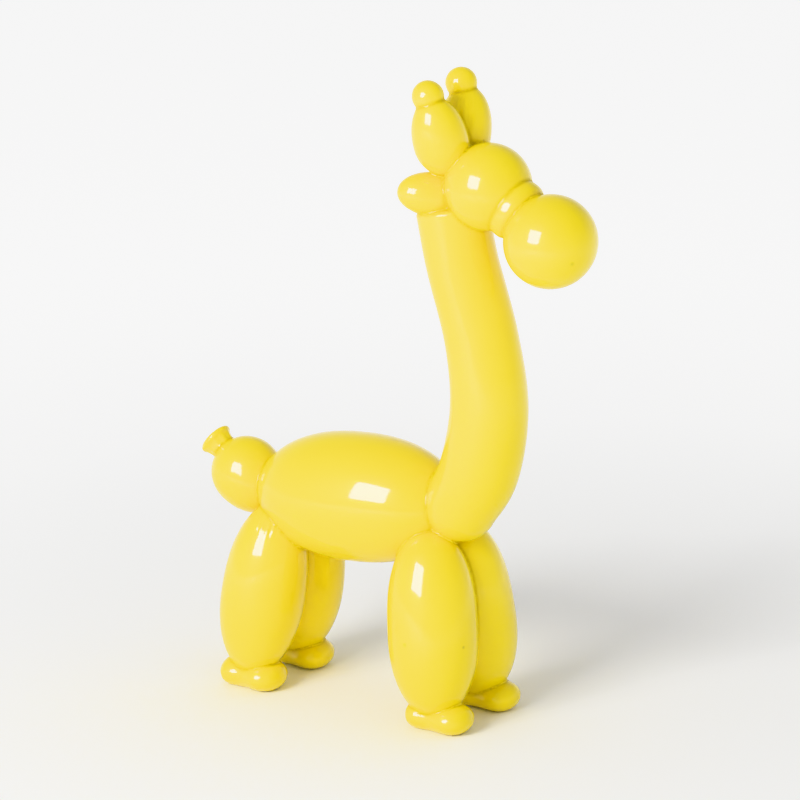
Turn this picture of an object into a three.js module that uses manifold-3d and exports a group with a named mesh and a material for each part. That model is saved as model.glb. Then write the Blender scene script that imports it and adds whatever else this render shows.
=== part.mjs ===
// Balloon giraffe: a standing ornament cast in one piece, shaped like an animal twisted from balloons.
// Millimetres, +Z up, +X the way the giraffe faces, +Y its left side.
// The origin lies on the floor under the middle of the figure.
// Every bubble is a surface of revolution; all bubbles are joined into one body and cut flat at the floor.

import * as THREE from 'three';
import { mergeVertices } from 'three/addons/utils/BufferGeometryUtils.js';
import Module from 'manifold-3d';

// Paint
const PAINT_COLOUR = 0xf6df3c;
const PAINT_ROUGHNESS = 0.12;

// Each bubble has the centre of its widest section, that section's radius and an axis.
// Its tips lie at the distances up and down the axis; a higher fullness makes a blunter end.
// Paired bubbles are given for the left side.

// Muzzle: a round head, a thin collar and a round nose on one sloping line
const HEAD = { centre: [76.5, 0, 377.3], radius: 29.4 };
const NOSE = { centre: [125.9, 0, 347.0], radius: 31.8, reach: 31.4 };
const COLLAR = { centre: [98.8, 0, 364.6], radius: 21.5, reach: 10.6, fullness: 3 };

// Ears: short bubbles that stick out from under the head, backwards and to the side
const EAR = {
  centre: [46.3, 4.0, 367.6],
  axis: [-0.72, 0.69, 0.13],
  radius: 15.4,
  up: 34.0,
  down: 24.0,
  fullUp: 2.7,
  fullDown: 2.5,
};

// Horns: a leaning egg each, with a small ball on its tip; the right ball sits a little lower
const HORN = {
  centre: [47.4, 13.1, 406.2],
  axis: [-0.07, 0.33, 1],
  radius: 18.8,
  up: 32.6,
  down: 22.7,
  fullness: 2.1,
};
const HORN_BALL = { centre: [41.2, 19.8, 439.3], axis: HORN.axis, radius: 10.7 };
const RIGHT_BALL_DROP = 1.4;

// Neck: middle line from chest to head in the plane of symmetry, with the radius at each station
const NECK_STATIONS = [
  { x: 55.4, z: 152.5, radius: 25.6 },
  { x: 70.4, z: 180.3, radius: 27.2 },
  { x: 77.8, z: 224.8, radius: 26.5 },
  { x: 71.3, z: 272.1, radius: 25.0 },
  { x: 55.6, z: 322.3, radius: 24.5 },
  { x: 47.8, z: 356.5, radius: 24.5 },
];
const NECK_CHEST_DOME = { height: 25.6, fullness: 2 };
const NECK_HEAD_DOME = { height: 4.5, fullness: 3.5 };

// Body: one long egg, nearly level, its axis pointing forward
const BODY = {
  centre: [-28.1, 0, 142.9],
  axis: [1, 0, 0.08],
  radius: 44.6,
  up: 79.7,
  down: 79.3,
  fullness: 2.24,
};

// Tail: a round bubble, its axis pointing down into the body
const TAIL = { centre: [-123.2, 0, 143.9], axis: [1, 0, -0.79], radius: 24.6, up: 32.1, down: 25.0 };

// Knot: the tied-off balloon end that flares from the tail, up and to the rear
const KNOT = {
  axis: [-0.81, 0, 0.58],
  start: 23.6,
  length: 11.0,
  waist: 9.0,
  lip: 12.0,
  rim: 2.0,
  mouth: 8.6,
  depth: 3.0,
};

// Legs: long eggs that lean together at the top and press against each other in pairs
const FRONT_LEG = {
  centre: [48.0, 23.0, 67.4],
  axis: [-0.12, -0.11, 1],
  radius: 30.8,
  up: 69.1,
  down: 60.0,
  fullUp: 2.68,
  fullDown: 2.3,
};
const REAR_LEG = {
  centre: [-92.9, 23.6, 66.9],
  axis: [0.14, -0.08, 1],
  radius: 29.1,
  up: 66.3,
  down: 58.5,
  fullUp: 2.34,
  fullDown: 2.1,
};

// Feet: bean shapes with a round heel, a narrower waist and a round toe; width is half of the whole.
// Each would reach a little below the floor and is cut off there to a flat sole.
const FRONT_FOOT = {
  y: 28.6,
  heel: { x: 45.0, width: 15.8, top: 20.2, reach: 11.4 },
  waist: { x: 55.5, width: 14.0, top: 19.4 },
  toe: { x: 68.0, width: 15.9, top: 19.8, reach: 14.2 },
};
const REAR_FOOT = {
  y: 28.3,
  heel: { x: -111.4, width: 15.0, top: 20.0, reach: 10.6 },
  waist: { x: -100.8, width: 13.8, top: 19.4 },
  toe: { x: -88.3, width: 16.9, top: 20.4, reach: 14.3 },
};
const SOLE_CUT = 1;

// Facets: rings from end to end and sides around
const FACETS = {
  body: { rings: 16, sides: 28 },
  neck: { rings: 15, sides: 24 },
  dome: { rings: 4 },
  round: { rings: 13, sides: 24 },
  collar: { rings: 6, sides: 20 },
  ear: { rings: 9, sides: 16 },
  horn: { rings: 10, sides: 16 },
  ball: { rings: 7, sides: 14 },
  tail: { rings: 12, sides: 22 },
  knot: { sides: 16 },
  leg: { rings: 13, sides: 22 },
  foot: { rings: 12, sides: 16 },
};

// Radius of a rounded end: 1 at the widest section, 0 at the tip
function rounded(rise, fullness) {
  return Math.sqrt(Math.max(0, 1 - Math.abs(rise) ** fullness));
}

// A balloon bubble about the Y axis, with its own reach and fullness above and below the widest section
function bubble(shape, { rings, sides }) {
  const { radius, reach = radius, up = reach, down = reach } = shape;
  const { fullness = 2, fullUp = fullness, fullDown = fullness } = shape;
  const profile = [];
  for (let i = 0; i <= rings; i += 1) {
    const rise = Math.sin(Math.PI * (i / rings - 0.5));
    const width = rise > 0 ? rounded(rise, fullUp) : rounded(rise, fullDown);
    const tip = i === 0 || i === rings;
    profile.push(new THREE.Vector2(tip ? 0 : radius * width, rise * (rise > 0 ? up : down)));
  }
  return new THREE.LatheGeometry(profile, sides);
}

// Turn the Y axis of a shape to the given axis and move it to its centre
function placed(geometry, centre, axis) {
  const direction = new THREE.Vector3(...axis).normalize();
  geometry.applyQuaternion(new THREE.Quaternion().setFromUnitVectors(new THREE.Vector3(0, 1, 0), direction));
  geometry.translate(...centre);
  return geometry;
}

// A bubble in its place; side is 1 for the left and -1 for the right of the plane of symmetry
function balloon(shape, facets, side = 1) {
  const onSide = ([x, y, z]) => [x, side * y, z];
  return placed(bubble(shape, facets), onSide(shape.centre), onSide(shape.axis));
}

// The neck: a straight balloon whose height is the distance along the middle line, then bent onto that line
function neckShape() {
  const smooth = (points) => new THREE.CatmullRomCurve3(points, false, 'catmullrom', 0.5);
  const line = smooth(NECK_STATIONS.map(({ x, z }) => new THREE.Vector3(x, 0, z)));
  const widths = smooth(NECK_STATIONS.map(({ radius }) => new THREE.Vector3(radius, 0, 0)));
  const widthAt = (u) => widths.getPoint(line.getUtoTmapping(u)).x;
  const length = line.getLength();
  const profile = [];
  const addDome = (u, dome, steps) => {
    for (const step of steps) {
      const rise = Math.cos((Math.PI / 2) * (step / FACETS.dome.rings));
      const width = step === 0 ? 0 : widthAt(u) * rounded(rise, dome.fullness);
      const along = u === 0 ? -rise * dome.height : length + rise * dome.height;
      profile.push(new THREE.Vector2(width, along));
    }
  };
  const steps = [...Array(FACETS.dome.rings).keys()];
  addDome(0, NECK_CHEST_DOME, steps);
  for (let i = 0; i <= FACETS.neck.rings; i += 1) {
    const u = i / FACETS.neck.rings;
    profile.push(new THREE.Vector2(widthAt(u), u * length));
  }
  addDome(1, NECK_HEAD_DOME, steps.reverse());
  const geometry = new THREE.LatheGeometry(profile, FACETS.neck.sides);
  const corners = geometry.attributes.position;
  for (let i = 0; i < corners.count; i += 1) {
    const u = THREE.MathUtils.clamp(corners.getY(i) / length, 0, 1);
    const middle = line.getPointAt(u);
    const tangent = line.getTangentAt(u);
    const beyond = corners.getY(i) - u * length;
    const across = corners.getX(i);
    const x = middle.x + tangent.x * beyond + tangent.z * across;
    const z = middle.z + tangent.z * beyond - tangent.x * across;
    corners.setXYZ(i, x, -corners.getZ(i), z);
  }
  return geometry;
}

// A foot size at x: level at heel, waist and toe, with a smooth run between them
function alongFoot({ heel, waist, toe }, size, x) {
  const [from, to] = x < waist.x ? [heel, waist] : [waist, toe];
  return THREE.MathUtils.lerp(from[size], to[size], THREE.MathUtils.smoothstep(x, from.x, to.x));
}

// Share of the full section left at x: 1 from heel to toe, rounded off beyond them
function footEnd({ heel, toe }, x) {
  const past = x < heel.x ? (heel.x - x) / heel.reach : Math.max(0, x - toe.x) / toe.reach;
  return rounded(past, 2.2);
}

// A foot: a bean lying along X, oval in section
function footShape(foot, side) {
  const { rings, sides } = FACETS.foot;
  const first = foot.heel.x - foot.heel.reach;
  const last = foot.toe.x + foot.toe.reach;
  const profile = [];
  for (let i = 0; i <= rings; i += 1) {
    const x = THREE.MathUtils.lerp(first, last, 0.5 - 0.5 * Math.cos((Math.PI * i) / rings));
    const tip = i === 0 || i === rings;
    profile.push(new THREE.Vector2(tip ? 0 : footEnd(foot, x), x));
  }
  const geometry = new THREE.LatheGeometry(profile, sides);
  const corners = geometry.attributes.position;
  for (let i = 0; i < corners.count; i += 1) {
    const x = corners.getY(i);
    const halfWidth = alongFoot(foot, 'width', x);
    const halfHeight = (alongFoot(foot, 'top', x) + SOLE_CUT) / 2;
    const y = side * foot.y - halfWidth * corners.getX(i);
    const z = halfHeight * (1 + corners.getZ(i)) - SOLE_CUT;
    corners.setXYZ(i, x, y, z);
  }
  return geometry;
}

// The knot: a waist rising from the tail, a flared lip with a rolled rim and a shallow mouth
function knotShape() {
  const { waist, lip, length, rim, mouth, depth } = KNOT;
  const shoulder = length - rim;
  const profile = [new THREE.Vector2(0, -waist)];
  for (const share of [-0.5, 0, 0.25, 0.5, 0.75, 0.9]) {
    profile.push(new THREE.Vector2(waist + (lip - waist) * share ** 2, shoulder * share));
  }
  profile.push(new THREE.Vector2(lip, shoulder));
  profile.push(new THREE.Vector2(lip - rim * 0.3, length - rim * 0.3));
  profile.push(new THREE.Vector2(lip - rim, length));
  profile.push(new THREE.Vector2(mouth, length - rim * 0.4));
  profile.push(new THREE.Vector2(mouth * 0.6, length - depth * 0.85));
  profile.push(new THREE.Vector2(0, length - depth));
  const axis = new THREE.Vector3(...KNOT.axis).normalize();
  const base = new THREE.Vector3(...TAIL.centre).addScaledVector(axis, KNOT.start);
  return placed(new THREE.LatheGeometry(profile, FACETS.knot.sides), base.toArray(), KNOT.axis);
}

// All bubbles in place, from the nose to the feet
function allShapes() {
  const muzzle = NOSE.centre.map((value, i) => value - HEAD.centre[i]);
  const shapes = [
    balloon({ ...NOSE, axis: muzzle }, FACETS.round),
    balloon({ ...HEAD, axis: muzzle }, FACETS.round),
    balloon({ ...COLLAR, axis: muzzle }, FACETS.collar),
    neckShape(),
    balloon(BODY, FACETS.body),
    balloon(TAIL, FACETS.tail),
    knotShape(),
  ];
  for (const side of [1, -1]) {
    const ball = balloon(HORN_BALL, FACETS.ball, side);
    if (side < 0) ball.translate(0, 0, -RIGHT_BALL_DROP);
    shapes.push(
      balloon(EAR, FACETS.ear, side),
      balloon(HORN, FACETS.horn, side),
      ball,
      balloon(FRONT_LEG, FACETS.leg, side),
      balloon(REAR_LEG, FACETS.leg, side),
      footShape(FRONT_FOOT, side),
      footShape(REAR_FOOT, side),
    );
  }
  return shapes;
}

const wasm = await Module();
wasm.setup();

// Closed solid from a shape: seams are welded and the empty triangles at the tips are dropped
function solidOf(geometry) {
  geometry.deleteAttribute('normal');
  geometry.deleteAttribute('uv');
  const welded = mergeVertices(geometry, 1e-4);
  const corners = welded.index.array;
  const kept = [];
  for (let i = 0; i < corners.length; i += 3) {
    const [a, b, c] = corners.slice(i, i + 3);
    if (a !== b && b !== c && c !== a) kept.push(a, b, c);
  }
  return new wasm.Manifold(new wasm.Mesh({
    numProp: 3,
    vertProperties: new Float32Array(welded.attributes.position.array),
    triVerts: new Uint32Array(kept),
  }));
}

// Join every bubble, then take away everything below the floor
function figureSurface() {
  const joined = allShapes().map(solidOf).reduce((whole, next) => whole.add(next));
  const belowFloor = new THREE.BoxGeometry(600, 300, 60);
  belowFloor.translate(0, 0, -30);
  const mesh = joined.subtract(solidOf(belowFloor)).getMesh();
  const surface = new THREE.BufferGeometry();
  surface.setAttribute('position', new THREE.BufferAttribute(mesh.vertProperties, mesh.numProp));
  surface.setIndex(new THREE.BufferAttribute(mesh.triVerts, 1));
  surface.computeVertexNormals();
  return surface;
}

const paint = new THREE.MeshStandardMaterial({
  name: 'yellow_gloss_paint',
  color: PAINT_COLOUR,
  roughness: PAINT_ROUGHNESS,
  metalness: 0,
});

const giraffe = new THREE.Mesh(figureSurface(), paint);
giraffe.name = 'balloon_giraffe';

const part = new THREE.Group();
part.name = 'balloon_giraffe_part';
part.add(giraffe);

export default part;
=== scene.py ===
# %% [markdown]
# # A balloon giraffe in glossy yellow paint
# The object is a standing ornament: a giraffe as a party entertainer would twist it from long balloons, but cast in
# resin and sprayed with bright yellow lacquer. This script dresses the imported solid: it makes a fine, smooth skin in
# the place of the faceted one, paints it, and sets up a floor, a soft studio light and a camera.
#
# Lengths are millimetres while the shapes are worked out, and metres once they are put into a Blender mesh. `NO_ZERO`
# is added where a number is divided by something that may be zero.

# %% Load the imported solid
import math

import bpy
import numpy as np
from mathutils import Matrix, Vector


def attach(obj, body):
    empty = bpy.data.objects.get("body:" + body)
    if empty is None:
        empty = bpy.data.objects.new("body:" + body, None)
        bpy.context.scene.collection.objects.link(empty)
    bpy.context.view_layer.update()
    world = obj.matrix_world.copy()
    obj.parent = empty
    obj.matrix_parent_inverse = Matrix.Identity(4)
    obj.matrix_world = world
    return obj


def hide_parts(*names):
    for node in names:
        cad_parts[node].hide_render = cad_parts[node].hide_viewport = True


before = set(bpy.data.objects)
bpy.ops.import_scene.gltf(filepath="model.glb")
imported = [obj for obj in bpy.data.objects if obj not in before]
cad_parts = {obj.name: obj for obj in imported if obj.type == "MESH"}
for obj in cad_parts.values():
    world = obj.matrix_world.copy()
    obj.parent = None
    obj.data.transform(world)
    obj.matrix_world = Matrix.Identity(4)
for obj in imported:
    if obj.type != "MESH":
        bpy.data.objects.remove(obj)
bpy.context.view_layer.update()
MM = 0.001
NO_ZERO = 1e-9

# %% [markdown]
# ## The bubbles
# A twisted balloon is a chain of bubbles. Each one is a surface of revolution that is widest near its middle and
# closes to a tip at both ends. One formula covers nearly all of them: at a share `rise` of the way to a tip, the
# radius is the widest radius times the square root of (1 - rise to the power `fullness`). Fullness 2 is a plain
# ellipse, and a higher value gives a blunter end.
#
# A bubble is written down as its centre, its axis, its radius, and how far its tips reach up and down the axis.
# Paired bubbles are given for the left side, which is +Y.

# %% Sizes of head, ears, horns, body, tail and legs
HEAD = dict(centre=(76.5, 0, 377.3), axis=(49.4, 0, -30.3), radius=29.4)
NOSE = dict(centre=(125.9, 0, 347.0), axis=HEAD["axis"], radius=31.8, up=31.4, down=31.4)
COLLAR = dict(centre=(98.8, 0, 364.6), axis=HEAD["axis"], radius=21.5, up=10.6, down=10.6, full_up=3, full_down=3)
EAR = dict(
    centre=(46.3, 4.0, 367.6), axis=(-0.72, 0.69, 0.13), radius=15.4, up=34.0, down=24.0, full_up=2.7, full_down=2.5
)
HORN = dict(
    centre=(47.4, 13.1, 406.2), axis=(-0.07, 0.33, 1), radius=18.8, up=32.6, down=22.7, full_up=2.1, full_down=2.1
)
HORN_BALL = dict(centre=(41.2, 19.8, 439.3), axis=HORN["axis"], radius=10.7)
RIGHT_BALL_DROP = 1.4
BODY = dict(centre=(-28.1, 0, 142.9), axis=(1, 0, 0.08), radius=44.6, up=79.7, down=79.3, full_up=2.24, full_down=2.24)
TAIL = dict(centre=(-123.2, 0, 143.9), axis=(1, 0, -0.79), radius=24.6, up=32.1, down=25.0)
FRONT_LEG = dict(
    centre=(48.0, 23.0, 67.4), axis=(-0.12, -0.11, 1), radius=30.8, up=69.1, down=60.0, full_up=2.68, full_down=2.3
)
REAR_LEG = dict(
    centre=(-92.9, 23.6, 66.9), axis=(0.14, -0.08, 1), radius=29.1, up=66.3, down=58.5, full_up=2.34, full_down=2.1
)


def mirrored(shape, drop=0.0):
    """The same bubble on the right side: y changes sign in its centre and axis, and it may sit a little lower."""
    (x, y, z), (ax, ay, az) = shape["centre"], shape["axis"]
    return {**shape, "centre": (x, -y, z - drop), "axis": (ax, -ay, az)}


PLAIN_BUBBLES = [HEAD, NOSE, COLLAR, BODY, TAIL]
for left in (EAR, HORN, FRONT_LEG, REAR_LEG):
    PLAIN_BUBBLES += [left, mirrored(left)]
PLAIN_BUBBLES += [HORN_BALL, mirrored(HORN_BALL, RIGHT_BALL_DROP)]
print("plain bubbles:", len(PLAIN_BUBBLES))


# %% [markdown]
# ## A surface on a grid
# Blender could spin a profile with its Screw modifier, but the formula is short enough to work out every point at
# once: one parameter goes round the axis and one from tip to tip. `bubble_surface` fills a whole grid of points from
# the two, and `grid_faces` joins neighbouring points to four-sided faces.


# %% Grid of a bubble
def rounded(rise, fullness):
    """Share of the widest radius that is left at a share `rise` of the way to the tip."""
    return np.sqrt(np.clip(1.0 - np.abs(rise) ** fullness, 0.0, None))


CLOSE_TO_Y = 0.8


def axes_of(direction):
    """Three unit vectors: two square to the direction and one along it. The first is square to +Y too, or to +X where
    the direction is close to Y."""
    along = np.asarray(direction, float) / np.linalg.norm(direction)
    helper = np.array((0.0, 1.0, 0.0)) if abs(along[1]) < CLOSE_TO_Y else np.array((1.0, 0.0, 0.0))
    side = np.cross(helper, along)
    side /= np.linalg.norm(side)
    return side, np.cross(along, side), along


def bubble_surface(shape, rows=64, columns=96):
    """Point (v, u): centre + rise * reach along the axis + radius * rounded(rise) in the direction u round it."""
    side, across, along = axes_of(shape["axis"])
    rise = np.sin(np.linspace(-math.pi / 2, math.pi / 2, rows))[:, None, None]
    turn = np.linspace(0, 2 * math.pi, columns, endpoint=False)[None, :, None]
    radius = shape["radius"]
    reach = np.where(rise > 0, shape.get("up", radius), shape.get("down", radius))
    full = np.where(rise > 0, shape.get("full_up", 2), shape.get("full_down", 2))
    ring = np.cos(turn) * side + np.sin(turn) * across
    return np.asarray(shape["centre"]) + rise * reach * along + radius * rounded(rise, full) * ring


def grid_faces(rows, columns):
    """Corner numbers of the faces between neighbours on a grid that closes on itself round the columns."""
    row, column = np.meshgrid(np.arange(rows - 1), np.arange(columns), indexing="ij")
    following = (column + 1) % columns
    corners = [row * columns + column, row * columns + following]
    corners += [(row + 1) * columns + following, (row + 1) * columns + column]
    return np.stack(corners, axis=-1).reshape(-1, 4)


print("points in one bubble's grid:", bubble_surface(BODY).shape)

# %% [markdown]
# ## The neck
# The neck is one long balloon bent into an S. A tube along a Blender curve would do, but its radius changes and its
# ends differ: the chest end is a half ball, and the head end is nearly flat where the head presses on it. So a
# profile is carried along a middle line. Six stations give the line and the radius, and a Catmull-Rom
# spline runs smoothly through them.

# %% Middle line and surface of the neck
NECK_STATIONS = np.array(
    [  # x, z and radius, from chest to head
        (55.4, 152.5, 25.6),
        (70.4, 180.3, 27.2),
        (77.8, 224.8, 26.5),
        (71.3, 272.1, 25.0),
        (55.6, 322.3, 24.5),
        (47.8, 356.5, 24.5),
    ]
)
NECK_POINTS = 161
CHEST_DOME = dict(height=25.6, fullness=2.0)
HEAD_DOME = dict(height=4.5, fullness=3.5)


def spline(stations, count):
    """Points spread over a Catmull-Rom spline: each span is a cubic whose end slopes are half the step between the
    neighbours, and the first and last station are reflected to give the outer slopes."""
    padded = np.vstack([2 * stations[0] - stations[1], stations, 2 * stations[-1] - stations[-2]])
    place = np.linspace(0, len(stations) - 1, count)
    span = np.minimum(place.astype(int), len(stations) - 2)
    t = (place - span)[:, None]
    a, b, c, d = (padded[span + i] for i in range(4))
    return 0.5 * (2 * b + (c - a) * t + (2 * a - 5 * b + 4 * c - d) * t**2 + (3 * b - a - 3 * c + d) * t**3)


NECK_LINE = spline(NECK_STATIONS, NECK_POINTS)
NECK_STEP = np.gradient(NECK_LINE[:, :2], axis=0)
NECK_TANGENT = NECK_STEP / np.linalg.norm(NECK_STEP, axis=1, keepdims=True)
NECK_DISTANCE = np.concatenate([[0], np.cumsum(np.linalg.norm(np.diff(NECK_LINE[:, :2], axis=0), axis=1))])


def neck_surface(columns=96, dome_rows=14):
    """Point (v, u): the middle line at v, plus its radius in the direction u round the tangent. Beyond the two ends
    the line runs straight on, and the radius closes to the tip of a dome."""
    rise = np.cos(np.linspace(0, math.pi / 2, dome_rows, endpoint=False))
    chest, head = -rise * CHEST_DOME["height"], rise[::-1] * HEAD_DOME["height"]
    beyond = np.concatenate([chest, np.zeros(len(NECK_LINE)), head])[:, None]
    share = np.concatenate(
        [rounded(rise, CHEST_DOME["fullness"]), np.ones(len(NECK_LINE)), rounded(rise[::-1], HEAD_DOME["fullness"])]
    )
    line = np.pad(NECK_LINE, ((dome_rows, dome_rows), (0, 0)), mode="edge")
    tangent = np.pad(NECK_TANGENT, ((dome_rows, dome_rows), (0, 0)), mode="edge")
    middle = line[:, :2] + beyond * tangent
    radius = line[:, 2:3] * share[:, None]
    turn = np.linspace(0, 2 * math.pi, columns, endpoint=False)[None, :]
    x = middle[:, :1] + radius * np.cos(turn) * tangent[:, 1:]
    y = radius * np.sin(turn)
    z = middle[:, 1:] - radius * np.cos(turn) * tangent[:, :1]
    return np.stack([x, y, z], axis=-1)


print("neck length:", round(float(NECK_DISTANCE[-1]), 1), "mm; grid:", neck_surface().shape)

# %% [markdown]
# ## The feet
# Each foot is a bean: a round heel, a narrower waist and a round toe, with an oval section. Width and height change
# along the foot, so they are functions of x: level at heel, waist and toe, with a smooth run between. Beyond heel and
# toe the section closes like the end of a bubble. The underside would reach a little below the floor and is cut flat
# there later.

# %% Feet
FRONT_FOOT = dict(y=28.6, x=(45.0, 55.5, 68.0), width=(15.8, 14.0, 15.9), top=(20.2, 19.4, 19.8), reach=(11.4, 14.2))
REAR_FOOT = dict(
    y=28.3, x=(-111.4, -100.8, -88.3), width=(15.0, 13.8, 16.9), top=(20.0, 19.4, 20.4), reach=(10.6, 14.3)
)
SOLE_CUT = 1.0
FOOT_FULLNESS = 2.2


def along_foot(foot, size, x):
    """Width or top of the foot at x: a smooth step from heel to waist and another from waist to toe."""
    (heel_x, waist_x, toe_x), (heel, waist, toe) = foot["x"], foot[size]
    first = np.clip((x - heel_x) / (waist_x - heel_x), 0, 1)
    second = np.clip((x - waist_x) / (toe_x - waist_x), 0, 1)
    return heel + (waist - heel) * first**2 * (3 - 2 * first) + (toe - waist) * second**2 * (3 - 2 * second)


def foot_terms(foot, x):
    """Half width, half height and share of the way past heel or toe, at x."""
    (heel_x, _, toe_x), (heel_reach, toe_reach) = foot["x"], foot["reach"]
    past = np.maximum(np.maximum((heel_x - x) / heel_reach, (x - toe_x) / toe_reach), 0)
    return along_foot(foot, "width", x), (along_foot(foot, "top", x) + SOLE_CUT) / 2, past


def foot_surface(foot, side, rows=48, columns=64):
    """Point (v, u): an oval of the foot's half width and half height at x(v), closed beyond heel and toe."""
    first, last = foot["x"][0] - foot["reach"][0], foot["x"][2] + foot["reach"][1]
    x = first + (last - first) * (0.5 - 0.5 * np.cos(np.linspace(0, math.pi, rows)))[:, None]
    half_width, half_height, past = foot_terms(foot, x)
    share = rounded(np.minimum(past, 1), FOOT_FULLNESS)
    turn = np.linspace(0, 2 * math.pi, columns, endpoint=False)[None, :]
    y = side * foot["y"] + half_width * share * np.cos(turn)
    z = half_height * (1 + share * np.sin(turn)) - SOLE_CUT
    return np.stack([np.broadcast_to(x, y.shape), y, z], axis=-1)


FEET = [(foot, side) for foot in (FRONT_FOOT, REAR_FOOT) for side in (1, -1)]
print("feet:", len(FEET), "grid:", foot_surface(FRONT_FOOT, 1).shape)

# %% [markdown]
# ## The knot
# Where a balloon is tied off, its neck flares into a short trumpet with a rolled rim. Here it points up and back from
# the tail. It is a profile turned about an axis: the wall opens with the square of the height, a ring closes the
# rim, and a shallow bowl sinks the mouth. The wall also goes down into the tail, by the share `root` of its height.

# %% Knot
KNOT_AXIS = axes_of((-0.81, 0.0, 0.58))[2]
KNOT_OUT = 23.6
KNOT_BASE = np.array(TAIL["centre"]) + KNOT_OUT * KNOT_AXIS
KNOT = dict(length=11.0, waist=9.0, lip=12.0, rim=2.0, mouth=8.6, depth=3.0, root=0.5)


def knot_wall(height):
    """Radius of the trumpet's wall at a height above the tail."""
    share = np.clip(height / (KNOT["length"] - KNOT["rim"]), -KNOT["root"], 1.0)
    return KNOT["waist"] + (KNOT["lip"] - KNOT["waist"]) * share**2


def knot_surface(rows=40, columns=72):
    """Point (v, u): the wall up to the rim, then a quarter ring over the rim and a flat lid to the axis."""
    shoulder = KNOT["length"] - KNOT["rim"]
    wall = np.linspace(-KNOT["root"] * shoulder, shoulder, rows)
    arc = np.linspace(0, math.pi / 2, 8)[1:]
    height = np.concatenate([wall[:1], wall, shoulder + KNOT["rim"] * np.sin(arc), [KNOT["length"]]])[:, None, None]
    over_rim = KNOT["lip"] - KNOT["rim"] * (1 - np.cos(arc))
    radius = np.concatenate([[0], knot_wall(wall), over_rim, [0]])[:, None, None]
    turn = np.linspace(0, 2 * math.pi, columns, endpoint=False)[None, :, None]
    side, across, along = axes_of(KNOT_AXIS)
    return KNOT_BASE + height * along + radius * (np.cos(turn) * side + np.sin(turn) * across)


print("knot grid:", knot_surface().shape)

# %% [markdown]
# ## One skin from many bubbles
# The casting is one piece, so its bubbles should share one closed skin with nothing left inside. Joining them with
# booleans leaves knife-sharp creases, and paint never fills a crease that sharply. Instead the grids are thrown into
# one mesh and Blender's voxel Remesh wraps a single skin round them. That skin is a little stepped, so the next step
# settles every point onto the exact shape.

# %% Wrap the bubbles
VOXEL = 1.68


def wrapped_skin(grids):
    """One closed mesh round all the grids, by the voxel Remesh modifier: its points in millimetres and its faces."""
    counts = np.cumsum([0] + [g.shape[0] * g.shape[1] for g in grids])
    points = np.concatenate([g.reshape(-1, 3) for g in grids]) * MM
    faces = np.concatenate([grid_faces(*g.shape[:2]) + start for g, start in zip(grids, counts)])
    mesh = bpy.data.meshes.new("bubbles")
    mesh.from_pydata(points, [], faces)
    bubbles = bpy.data.objects.new("bubbles", mesh)
    bpy.context.scene.collection.objects.link(bubbles)
    remesh = bubbles.modifiers.new("wrap", "REMESH")
    remesh.mode = "VOXEL"
    remesh.voxel_size = VOXEL * MM
    skin = bpy.data.meshes.new_from_object(bubbles.evaluated_get(bpy.context.evaluated_depsgraph_get()))
    bpy.data.objects.remove(bubbles)
    bpy.data.meshes.remove(mesh)
    return skin


def point_array(mesh):
    """The mesh's points as an array, in millimetres."""
    flat = np.empty(len(mesh.vertices) * 3, np.float32)
    mesh.vertices.foreach_get("co", flat)
    return flat.reshape(-1, 3).astype(float) / MM


GRIDS = [bubble_surface(shape) for shape in PLAIN_BUBBLES]
GRIDS += [neck_surface(), knot_surface()] + [foot_surface(*foot) for foot in FEET]
skin_mesh = wrapped_skin(GRIDS)
print("wrapped skin:", len(skin_mesh.vertices), "points,", len(skin_mesh.polygons), "faces")

# %% [markdown]
# ## Distance to each bubble
# To settle a point, the script needs its distance from the true shape. For a bubble the measure
# `m = sqrt((radial / radius)^2 + rise^fullness)` is 1 on the surface, less inside and more outside. Divided by its own
# slope, `m - 1` becomes a distance in millimetres that is exact close to the surface. The neck, feet and knot get the
# same treatment with their own radius, rise and fullness.


# %% Distance functions
def bubble_distance(shape):
    """A function that gives the distance of points from one bubble, negative inside."""
    centre, along, radius = np.asarray(shape["centre"]), axes_of(shape["axis"])[2], shape["radius"]

    def distance(p):
        offset = p - centre
        height = offset @ along
        radial = np.linalg.norm(offset - height[:, None] * along, axis=1)
        reach = np.where(height > 0, shape.get("up", radius), shape.get("down", radius))
        full = np.where(height > 0, shape.get("full_up", 2), shape.get("full_down", 2))
        return shape_distance(radial, radius, np.abs(height), reach, full)

    return distance


def shape_distance(radial, radius, height, reach, full):
    """(m - 1) divided by the slope of m, where m = sqrt((radial / radius)^2 + (height / reach)^full)."""
    rise = height / reach
    m = np.sqrt((radial / radius) ** 2 + rise**full) + NO_ZERO
    slope = np.hypot(radial / radius**2 / m, 0.5 * full * rise ** (full - 1) / reach / m)
    return (m - 1) / (slope + NO_ZERO)


def neck_distance(p):
    """Distance from the neck: the nearest place on the middle line gives the radius; past the ends the domes do."""
    gap = (p[:, :1] - NECK_LINE[:, 0]) ** 2 + (p[:, 2:] - NECK_LINE[:, 1]) ** 2
    nearest = gap.argmin(axis=1)
    step = np.sum((p[:, ::2] - NECK_LINE[nearest, :2]) * NECK_TANGENT[nearest], axis=1)
    reached = NECK_DISTANCE[nearest] + step
    place = np.clip(reached, 0, NECK_DISTANCE[-1])
    x, z, radius = (np.interp(place, NECK_DISTANCE, NECK_LINE[:, i]) for i in range(3))
    tangent = NECK_TANGENT[nearest]
    beyond = reached - place
    across = (p[:, 0] - x) * tangent[:, 1] - (p[:, 2] - z) * tangent[:, 0]
    height = np.where(beyond > 0, HEAD_DOME["height"], CHEST_DOME["height"])
    full = np.where(beyond > 0, HEAD_DOME["fullness"], CHEST_DOME["fullness"])
    return shape_distance(np.hypot(across, p[:, 1]), radius, np.abs(beyond), height, full)


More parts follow.
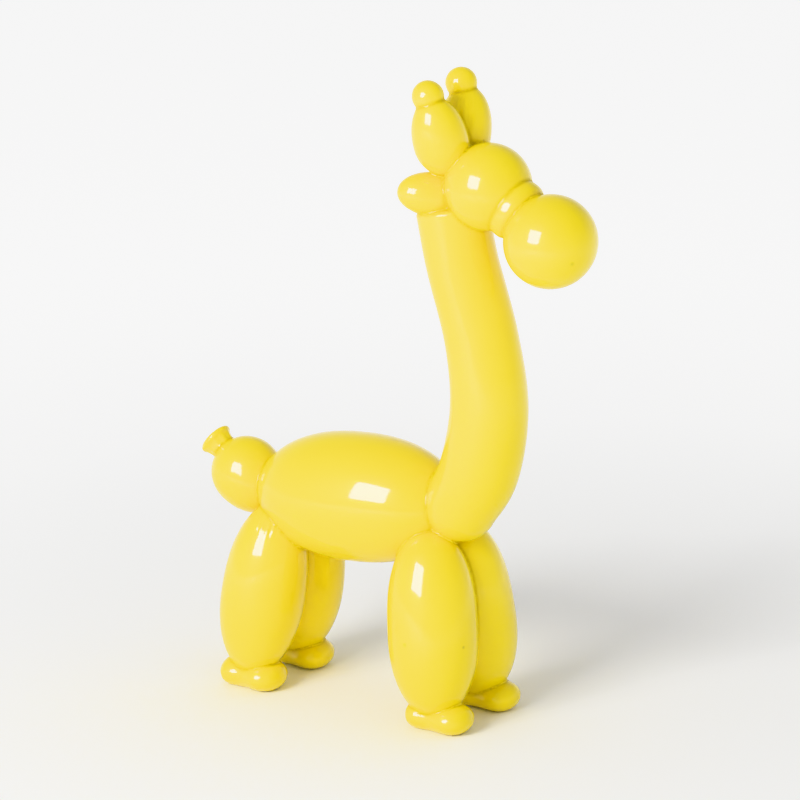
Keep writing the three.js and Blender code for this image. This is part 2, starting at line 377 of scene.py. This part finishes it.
def foot_distance(foot, side):
    """A function that gives the distance of points from one foot: the oval's two half axes stand for the radius."""

    def distance(p):
        half_width, half_height, past = foot_terms(foot, p[:, 0])
        y, z = (p[:, 1] - side * foot["y"]) / half_width, (p[:, 2] + SOLE_CUT) / half_height - 1
        m = np.sqrt(y**2 + z**2 + past**FOOT_FULLNESS) + NO_ZERO
        reach = np.where(p[:, 0] < foot["x"][1], *foot["reach"])
        end_slope = 0.5 * FOOT_FULLNESS * past ** (FOOT_FULLNESS - 1) / reach
        slope = np.sqrt((y / half_width) ** 2 + (z / half_height) ** 2 + end_slope**2)
        return (m - 1) * m / (slope + NO_ZERO)

    return distance


FLUTES = dict(count=9, depth=0.35, phase=0.6, middle=0.4, spread=0.6)
KNOT_SOFTNESS = 0.4
BOWL_SINK = 0.4


def knot_distance(p):
    """Distance from the knot: the wall and the ring of the rim joined, less the bowl of the mouth. Shallow flutes run
    down the wall, as in gathered rubber, and fade out away from its middle."""
    side, across, along = axes_of(KNOT_AXIS)
    offset = p - KNOT_BASE
    height = offset @ along
    radial = np.linalg.norm(offset - height[:, None] * along, axis=1)
    turn = np.arctan2(offset @ across, offset @ side)
    shoulder = KNOT["length"] - KNOT["rim"]
    fade = np.clip(1 - np.abs(height / shoulder - FLUTES["middle"]) / FLUTES["spread"], 0, 1)
    flutes = FLUTES["depth"] * fade * np.cos(FLUTES["count"] * turn + FLUTES["phase"])
    past_ends = np.maximum(height - shoulder, -KNOT["root"] * shoulder - height)
    wall = np.maximum(radial - knot_wall(height) + flutes, past_ends)
    ring = np.hypot(radial - (KNOT["lip"] - KNOT["rim"]), height - shoulder) - KNOT["rim"]
    bowl_height = np.abs(height - (KNOT["length"] - BOWL_SINK))
    bowl = shape_distance(radial, KNOT["mouth"], bowl_height, KNOT["depth"] - BOWL_SINK, 2)
    return -blended([-blended([wall, ring], KNOT_SOFTNESS), bowl], KNOT_SOFTNESS)


def blended(distances, softness):
    """The smaller of several distances, with the corner between them rounded: -s log(sum of exp(-distance / s))."""
    return -softness * np.logaddexp.reduce(-np.asarray(distances) / softness, axis=0)


body_error = np.abs(bubble_distance(BODY)(bubble_surface(BODY).reshape(-1, 3))).max()
print("the body's own surface is", float(body_error), "mm off")

# %% [markdown]
# ## The shape of the whole casting
# All distances are blended into one. A plain minimum would give sharp creases. The blend rounds each crease by about
# the thickness of a coat of paint. Two small touches come on top: folds in the rubber, where the rear legs are
# twisted off from the body and on the left horn, and a very slow waviness, because no cast balloon is perfectly round.
# Below the floor everything is cut away with the same soft corner, which leaves flat soles with an eased edge.

# %% Blend the distances
CREASE_SOFTNESS = 0.55
SOLE_SOFTNESS = 0.3
REACH_OF_BLEND = 14.0
LEG_FOLDS = dict(count=28, depth=0.34, turn=-1.26, spread=0.40, rise=0.82, rise_spread=0.10)
HORN_FOLDS = dict(count=15, depth=0.55, turn=-1.15, spread=0.55, rise=0.25, rise_spread=0.45)
FOLD_LIMIT = 1.2
FOLDED = [(REAR_LEG, LEG_FOLDS, -1), (mirrored(REAR_LEG), LEG_FOLDS, 1), (HORN, HORN_FOLDS, 1)]
WAVE = dict(depth=0.03, length=31.0, phases=(0.0, 1.0, 2.0))
WAVE_DIRECTIONS = np.array([(1.0, 0.0, 0.6), (-0.8, 1.3, 0.0), (0.0, 0.7, 1.1)])
EXPONENT_LIMIT = 200.0
FAR_AWAY = 1e-90

DISTANCES = [bubble_distance(shape) for shape in PLAIN_BUBBLES] + [neck_distance, knot_distance]
DISTANCES += [foot_distance(*foot) for foot in FEET]
LIMITS = [(g.min(axis=(0, 1)) - REACH_OF_BLEND, g.max(axis=(0, 1)) + REACH_OF_BLEND) for g in GRIDS]


def near_distances(p):
    """For each bubble whose limits hold some of the points: which points, and their distances from it."""
    for distance, (low, high) in zip(DISTANCES, LIMITS):
        near = np.flatnonzero(np.all((p > low) & (p < high), axis=1))
        if len(near):
            yield near, distance(p[near])


def folds(p):
    """Folds in the rubber: a cosine round a bubble's axis, faded out like a bell curve away from one turn and rise.
    The turn is counted from +X towards +Y, or towards -Y where `way` is -1. Points more than FOLD_LIMIT radii from
    the axis, or on the figure's other side, keep out of it."""
    depth = np.zeros(len(p))
    for shape, fold, way in FOLDED:
        along = axes_of(shape["axis"])[2]
        offset = p - np.asarray(shape["centre"])
        height = offset @ along
        radial = offset - height[:, None] * along
        turn = np.arctan2(way * radial[:, 1], radial[:, 0])
        rise = height / shape["up"]
        away = ((turn - fold["turn"]) / fold["spread"]) ** 2 + ((rise - fold["rise"]) / fold["rise_spread"]) ** 2
        close = np.linalg.norm(radial, axis=1) < FOLD_LIMIT * shape["radius"]
        own_side = shape["centre"][1] * p[:, 1] > 0
        depth += fold["depth"] * np.where(close & own_side, np.exp(-away) * np.cos(fold["count"] * turn), 0)
    return depth


def waves(p):
    """Slow unevenness: the mean of three sines that run across each other."""
    turns = p @ WAVE_DIRECTIONS.T * (2 * math.pi / WAVE["length"]) + np.array(WAVE["phases"])
    return WAVE["depth"] * np.sin(turns).mean(axis=1)


def nearness(distance, width):
    """exp(-distance / width), held within what a number can carry."""
    return np.exp(np.clip(-distance / width, -EXPONENT_LIMIT, EXPONENT_LIMIT))


def casting(p):
    """Distance of points from the whole figure: all bubbles blended, with folds and waves, and cut at the floor."""
    total = np.zeros(len(p))
    for near, distance in near_distances(p):
        total[near] += nearness(distance, CREASE_SOFTNESS)
    joined = -CREASE_SOFTNESS * np.log(total + FAR_AWAY) + folds(p) + waves(p)
    return -blended([-joined, p[:, 2]], SOLE_SOFTNESS)


def slopes(p, step=0.05):
    """Direction in which the distance grows fastest, from differences to both sides along x, y and z."""
    moves = step * np.eye(3)
    return np.stack([(casting(p + move) - casting(p - move)) / (2 * step) for move in moves], axis=1)


print("shapes blended:", len(DISTANCES), "folded:", len(FOLDED))

# %% [markdown]
# ## Settle the skin
# Each round first slides the points along the skin towards the middle of their neighbours, which evens out the mesh,
# and then moves each point by its distance straight towards the shape. After a few rounds the steps of the Remesh are
# gone. The slope at a point is also its exact surface normal. Stored as custom normals, it keeps the highlights as
# smooth as wet paint.


# %% Slide and project
SLIDE_SHARE = 0.5


def settled(points, edges, rounds=5):
    """Points after some rounds of evening out along the surface and projecting onto it. The last round only projects,
    and no step is longer than a voxel."""
    first, second = edges.T
    degree = np.bincount(edges.ravel(), minlength=len(points))[:, None]
    for turn in range(rounds):
        grown = slopes(points)
        normal = grown / np.linalg.norm(grown, axis=1, keepdims=True)
        total = np.stack(
            [
                np.bincount(first, points[second, i], len(points)) + np.bincount(second, points[first, i], len(points))
                for i in range(3)
            ],
            axis=1,
        )
        pull = total / degree - points
        slide = pull - np.sum(pull * normal, axis=1, keepdims=True) * normal
        points = points + (SLIDE_SHARE * slide if turn < rounds - 1 else 0)
        grown = slopes(points)
        move = (casting(points) / np.sum(grown * grown, axis=1))[:, None] * grown
        size = np.linalg.norm(move, axis=1, keepdims=True)
        points = points - move * np.minimum(1, VOXEL / np.maximum(size, NO_ZERO))
    return points


edge_numbers = np.empty(len(skin_mesh.edges) * 2, np.int32)
skin_mesh.edges.foreach_get("vertices", edge_numbers)
edge_numbers = edge_numbers.reshape(-1, 2)
skin_points = settled(point_array(skin_mesh), edge_numbers)
print("largest distance left:", float(np.abs(casting(skin_points)).max()), "mm")

# %% Put the skin into the scene
skin_normals = slopes(skin_points)
skin_normals /= np.linalg.norm(skin_normals, axis=1, keepdims=True)
skin_mesh.vertices.foreach_set("co", (skin_points * MM).astype(np.float32).ravel())
skin_mesh.polygons.foreach_set("use_smooth", np.ones(len(skin_mesh.polygons), bool))
skin_mesh.update()
skin_mesh.normals_split_custom_set_from_vertices(skin_normals.astype(np.float32))
skin_mesh.name = "giraffe_skin"
giraffe = bpy.data.objects.new("giraffe_skin", skin_mesh)
bpy.context.scene.collection.objects.link(giraffe)
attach(giraffe, "root")
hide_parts("balloon_giraffe")
triangles = len(skin_mesh.loops) - 2 * len(skin_mesh.polygons)
closed = len(skin_mesh.vertices) - len(skin_mesh.edges) + len(skin_mesh.polygons)
print("triangles:", triangles, "points - edges + faces:", closed)

# %% [markdown]
# ## How deep in a crease
# The yellow is painted darker where two bubbles meet, as shade in the creases. The paint needs to know where that is,
# so each point gets a number from 0, out in the open, to 1, in the bottom of a crease: how much the second nearest
# bubble shares the point.

# %% Crease attribute
CREASE_WIDTH = 1.6


def crease_share(p):
    """Twice the share of all bubbles but the nearest in a sum of exp(-distance / width)."""
    total, nearest = np.zeros(len(p)), np.zeros(len(p))
    for near, distance in near_distances(p):
        weight = nearness(distance, CREASE_WIDTH)
        total[near] += weight
        nearest[near] = np.maximum(nearest[near], weight)
    return np.clip(2 * (1 - nearest / (total + NO_ZERO)), 0, 1)


crease = giraffe.data.attributes.new("crease", "FLOAT", "POINT")
crease_values = crease_share(skin_points)
crease.data.foreach_set("value", crease_values.astype(np.float32))
print("share of points in a crease:", round(float(np.mean(crease_values > 0.5)), 3))

# %% [markdown]
# ## The paint
# The finish is a solid yellow under a clear, hard gloss. One Principled shader holds both: the yellow layer scatters
# light broadly, and the coat on top gives the sharp reflections of the lamp. The coat is not a perfect mirror. Spray
# lacquer has a faint orange peel, about a millimetre from bump to bump. There are also a few pinholes where the
# casting trapped air. Each shows as a small, faint brown dot with a shallow dent. The colour is painted a little
# deeper in the creases, as shade.

# %% Paint values
PAINT = dict(yellow=(0.89, 0.70, 0.010), deep=(0.56, 0.41, 0.003), pinhole=(0.22, 0.17, 0.02))
YELLOW_LAYER = dict(roughness=0.45, specular=0.1)
COAT = dict(roughness=0.08, ior=1.5, in_crease=0.25, in_pinhole=0.6)
COAT_THINS = dict(start=0.1, full=0.9)
CLOUDS = dict(scale=18.0, detail=2.0, low=0.3, high=0.7, share=0.06)
# painted shade: how far the yellow turns towards the deep tone in the bottom of a crease
CREASE_SHADE = dict(start=0.25, full=1.0, share=0.9)
PINHOLE_SHARE = 0.4
PEEL = dict(scale=800.0, detail=1.0, strength=0.05, depth=0.0002)
DENT = dict(strength=0.15, depth=0.0003)
PINHOLES = [  # place in millimetres and radius
    ((46.2, -53.7, 65.3), 2.6),
    ((78.0, -31.0, 63.4), 2.2),
    ((152.3, -15.0, 339.2), 2.8),
    ((65.4, 9.7, 405.1), 1.8),
    ((59.3, -43.8, 15.7), 1.8),
]
print("pinholes:", len(PINHOLES))

# %% Small helpers for nodes
MIX_FACTOR, MIX_FIRST, MIX_SECOND, MIX_RESULT = 0, 6, 7, 2


def add_node(tree, kind, **inputs):
    """A new node of a kind in a node tree, with values given to its inputs by name."""
    node = tree.nodes.new(kind)
    for name, value in inputs.items():
        node.inputs[name].default_value = value
    return node


def mix_colour(tree, factor, first, second):
    """A mix of two colours by the socket of a factor. Each colour may be a socket or plain red, green and blue. The
    node has sockets for numbers and vectors too, so its colour sockets are picked by number."""
    node = tree.nodes.new("ShaderNodeMix")
    node.data_type = "RGBA"
    tree.links.new(factor, node.inputs[MIX_FACTOR])
    for socket, colour in ((node.inputs[MIX_FIRST], first), (node.inputs[MIX_SECOND], second)):
        if isinstance(colour, bpy.types.NodeSocket):
            tree.links.new(colour, socket)
        else:
            socket.default_value = (*colour, 1.0)
    return node.outputs[MIX_RESULT]


def map_range(tree, value, low, high, to_low, to_high):
    """A smooth step of a value from one range to another."""
    node = tree.nodes.new("ShaderNodeMapRange")
    node.interpolation_type = "SMOOTHSTEP"
    for name, number in (("From Min", low), ("From Max", high), ("To Min", to_low), ("To Max", to_high)):
        node.inputs[name].default_value = number
    tree.links.new(value, node.inputs["Value"])
    return node.outputs["Result"]


def pinhole_mask(tree, place):
    """1 in the middle of each pinhole and 0 outside it: the largest of one smooth step per pinhole."""
    mask = None
    for centre, radius in PINHOLES:
        distance = add_node(tree, "ShaderNodeVectorMath")
        distance.operation = "DISTANCE"
        distance.inputs[1].default_value = [c * MM for c in centre]
        tree.links.new(place, distance.inputs[0])
        spot = map_range(tree, distance.outputs["Value"], 0.0, radius * MM, 1.0, 0.0)
        if mask is not None:
            larger = add_node(tree, "ShaderNodeMath")
            larger.operation = "MAXIMUM"
            tree.links.new(mask, larger.inputs[0])
            tree.links.new(spot, larger.inputs[1])
            spot = larger.outputs[0]
        mask = spot
    return mask


def yellow_colour(tree, place, crease_depth, holes):
    """Yellow with faint clouds of the deeper tone, more of it in the creases as painted shade, and brown pinholes."""
    clouds = add_node(tree, "ShaderNodeTexNoise", Scale=CLOUDS["scale"], Detail=CLOUDS["detail"])
    tree.links.new(place, clouds.inputs["Vector"])
    cloudy = map_range(tree, clouds.outputs["Fac"], CLOUDS["low"], CLOUDS["high"], 0.0, CLOUDS["share"])
    colour = mix_colour(tree, cloudy, PAINT["yellow"], PAINT["deep"])
    # painted shade in the creases
    crease_shade = map_range(tree, crease_depth, CREASE_SHADE["start"], CREASE_SHADE["full"], 0.0, CREASE_SHADE["share"])
    colour = mix_colour(tree, crease_shade, colour, PAINT["deep"])
    brown = map_range(tree, holes, 0.0, 1.0, 0.0, PINHOLE_SHARE)
    return mix_colour(tree, brown, colour, PAINT["pinhole"])


def peel_and_dents(tree, place, holes):
    """Surface normal with the orange peel of the lacquer, and a dent at each pinhole."""
    noise = add_node(tree, "ShaderNodeTexNoise", Scale=PEEL["scale"], Detail=PEEL["detail"])
    tree.links.new(place, noise.inputs["Vector"])
    peel = add_node(tree, "ShaderNodeBump", Strength=PEEL["strength"], Distance=PEEL["depth"])
    tree.links.new(noise.outputs["Fac"], peel.inputs["Height"])
    dent = add_node(tree, "ShaderNodeBump", Strength=DENT["strength"], Distance=DENT["depth"])
    dent.invert = True
    tree.links.new(holes, dent.inputs["Height"])
    tree.links.new(peel.outputs["Normal"], dent.inputs["Normal"])
    return dent.outputs["Normal"]


def coat_weight(tree, crease_depth, holes):
    """Full coat in the open, thinner in the creases and in the pinholes."""
    weight = add_node(tree, "ShaderNodeMath")
    weight.operation = "MULTIPLY"
    in_crease = map_range(tree, crease_depth, COAT_THINS["start"], COAT_THINS["full"], 1.0, COAT["in_crease"])
    in_pinhole = map_range(tree, holes, 0.0, 1.0, 1.0, COAT["in_pinhole"])
    tree.links.new(in_crease, weight.inputs[0])
    tree.links.new(in_pinhole, weight.inputs[1])
    return weight.outputs[0]


# %% Paint material
def yellow_paint():
    """Yellow layer with a clear coat, orange peel, pinholes and painted shade in the creases."""
    material = bpy.data.materials.new("yellow_gloss_paint")
    material.use_nodes = True
    tree = material.node_tree
    shader = tree.nodes["Principled BSDF"]
    place = tree.nodes.new("ShaderNodeTexCoord").outputs["Object"]
    attribute = tree.nodes.new("ShaderNodeAttribute")
    attribute.attribute_name = "crease"
    crease_depth = attribute.outputs["Fac"]
    holes = pinhole_mask(tree, place)
    tree.links.new(yellow_colour(tree, place, crease_depth, holes), shader.inputs["Base Color"])
    tree.links.new(peel_and_dents(tree, place, holes), shader.inputs["Normal"])
    tree.links.new(coat_weight(tree, crease_depth, holes), shader.inputs["Coat Weight"])
    shader.inputs["Roughness"].default_value = YELLOW_LAYER["roughness"]
    shader.inputs["Specular IOR Level"].default_value = YELLOW_LAYER["specular"]
    shader.inputs["Coat Roughness"].default_value = COAT["roughness"]
    shader.inputs["Coat IOR"].default_value = COAT["ior"]
    return material


giraffe.data.materials.clear()
giraffe.data.materials.append(yellow_paint())
print("paint nodes:", len(giraffe.data.materials[0].node_tree.nodes))

# %% [markdown]
# ## Floor
# The figure stands on a plain white floor. A white floor under one lamp turns grey away from the light, so this one
# glows a little of its own, more with the distance from the figure. A glow that was as strong under the figure would
# light the belly too much.

# %% Floor
WHITE = (1.0, 1.0, 1.0, 1.0)
FLOOR_HALF = 9.0
FLOOR_PAINT = dict(colour=(0.95, 0.95, 0.95, 1.0), roughness=0.9)
FLOOR_GLOW = dict(near=0.2, far=1.2, strength=0.6)


def pale_floor():
    """A flat square at z = 0 with a matt white surface that glows softly away from the figure."""
    corners = FLOOR_HALF * np.array([(-1, -1, 0), (1, -1, 0), (1, 1, 0), (-1, 1, 0)])
    mesh = bpy.data.meshes.new("floor")
    mesh.from_pydata(corners, [], [(0, 1, 2, 3)])
    floor = bpy.data.objects.new("floor", mesh)
    bpy.context.scene.collection.objects.link(floor)
    material = bpy.data.materials.new("pale_floor")
    material.use_nodes = True
    tree = material.node_tree
    shader = tree.nodes["Principled BSDF"]
    shader.inputs["Base Color"].default_value = FLOOR_PAINT["colour"]
    shader.inputs["Roughness"].default_value = FLOOR_PAINT["roughness"]
    shader.inputs["Emission Color"].default_value = WHITE
    radius = add_node(tree, "ShaderNodeVectorMath")
    radius.operation = "LENGTH"
    tree.links.new(tree.nodes.new("ShaderNodeTexCoord").outputs["Object"], radius.inputs[0])
    glow = map_range(tree, radius.outputs["Value"], FLOOR_GLOW["near"], FLOOR_GLOW["far"], 0.0, FLOOR_GLOW["strength"])
    tree.links.new(glow, shader.inputs["Emission Strength"])
    mesh.materials.append(material)
    return floor


floor = pale_floor()
print("floor:", tuple(floor.dimensions))

# %% [markdown]
# ## Light
# One large square lamp stands to the giraffe's right and a little above it, and its shape shows as a bright patch in
# every bubble. In a photograph such a patch is nearly white. A lamp strong enough for that would bleach the yellow, so
# there are two lamps: one lights the paint, and the other, just in front of it, is seen only in the gloss. The white
# room fills in the shadows. It is brighter at the horizon than overhead, so that the bubbles darken gently at the top.

# %% Lamps
FIGURE_MIDDLE = np.array((0.00529, 0.0, 0.2174))
LAMP = dict(toward=(-0.12, -0.90, 0.40), size=1.1)
LAMP_DISTANCE = 2.2
LAMP_RADIANCE = 12.0
GLARE_NEARER = 0.02
GLARE_RADIANCE = 50.0


def place_towards(holder, place):
    """Put a lamp or camera at a place, looking at the figure's middle with its top upwards."""
    holder.location = place
    holder.rotation_mode = "QUATERNION"
    holder.rotation_quaternion = Vector(FIGURE_MIDDLE - np.asarray(place)).to_track_quat("-Z", "Y")


def square_lamp(name, toward, size, distance, radiance):
    """A square area lamp that looks at the figure's middle; its power is radiance times pi times its area."""
    lamp = bpy.data.lights.new(name, "AREA")
    lamp.shape = "SQUARE"
    lamp.size = size
    lamp.energy = radiance * math.pi * size**2
    holder = bpy.data.objects.new(name, lamp)
    bpy.context.scene.collection.objects.link(holder)
    place_towards(holder, FIGURE_MIDDLE + distance * axes_of(toward)[2])
    return holder


soft_lamp = square_lamp("soft_lamp", **LAMP, distance=LAMP_DISTANCE, radiance=LAMP_RADIANCE)
soft_lamp.visible_glossy = False
lamp_glare = square_lamp("lamp_glare", **LAMP, distance=LAMP_DISTANCE - GLARE_NEARER, radiance=GLARE_RADIANCE)
lamp_glare.visible_diffuse = False
print("lamps:", [holder.name for holder in (soft_lamp, lamp_glare)])

# %% White room
ROOM_LIGHT = dict(horizon=1.05, zenith=0.6, height=0.6)


def white_room():
    """A white surrounding that is brighter at the horizon than overhead, by the height of the direction."""
    world = bpy.data.worlds.new("white_room")
    world.use_nodes = True
    tree = world.node_tree
    direction = tree.nodes.new("ShaderNodeSeparateXYZ")
    tree.links.new(tree.nodes.new("ShaderNodeTexCoord").outputs["Generated"], direction.inputs[0])
    horizon, zenith = ROOM_LIGHT["horizon"], ROOM_LIGHT["zenith"]
    strength = map_range(tree, direction.outputs["Z"], 0, ROOM_LIGHT["height"], horizon, zenith)
    tree.nodes["Background"].inputs["Color"].default_value = WHITE
    tree.links.new(strength, tree.nodes["Background"].inputs["Strength"])
    return world


bpy.context.scene.world = white_room()
bpy.context.scene.view_settings.view_transform = "Khronos PBR Neutral"
print("room light at the horizon and overhead:", ROOM_LIGHT["horizon"], ROOM_LIGHT["zenith"])

# %% [markdown]
# ## Camera
# The photograph looks at the giraffe's right side from a little in front and above, from far away with a long lens.
# Azimuth 0 would look along +Y. The lens follows from the distance and from how large the figure is in the square
# picture.

# %% Camera
VIEW = dict(azimuth=34.44, elevation=16.76, distance=3.9213, lens=260.55, sight=100.0)


def long_lens_camera():
    """A camera on a sphere round the figure's middle, at the azimuth, elevation and distance of the view."""
    azimuth, elevation = math.radians(VIEW["azimuth"]), math.radians(VIEW["elevation"])
    flat = math.cos(elevation)
    back = np.array((math.sin(azimuth) * flat, -math.cos(azimuth) * flat, math.sin(elevation)))
    camera = bpy.data.objects.new("camera", bpy.data.cameras.new("camera"))
    camera.data.lens = VIEW["lens"]
    camera.data.clip_end = VIEW["sight"]
    bpy.context.scene.collection.objects.link(camera)
    place_towards(camera, FIGURE_MIDDLE + VIEW["distance"] * back)
    return camera


bpy.context.scene.camera = long_lens_camera()
print("lens:", VIEW["lens"], "mm at", VIEW["distance"], "m")
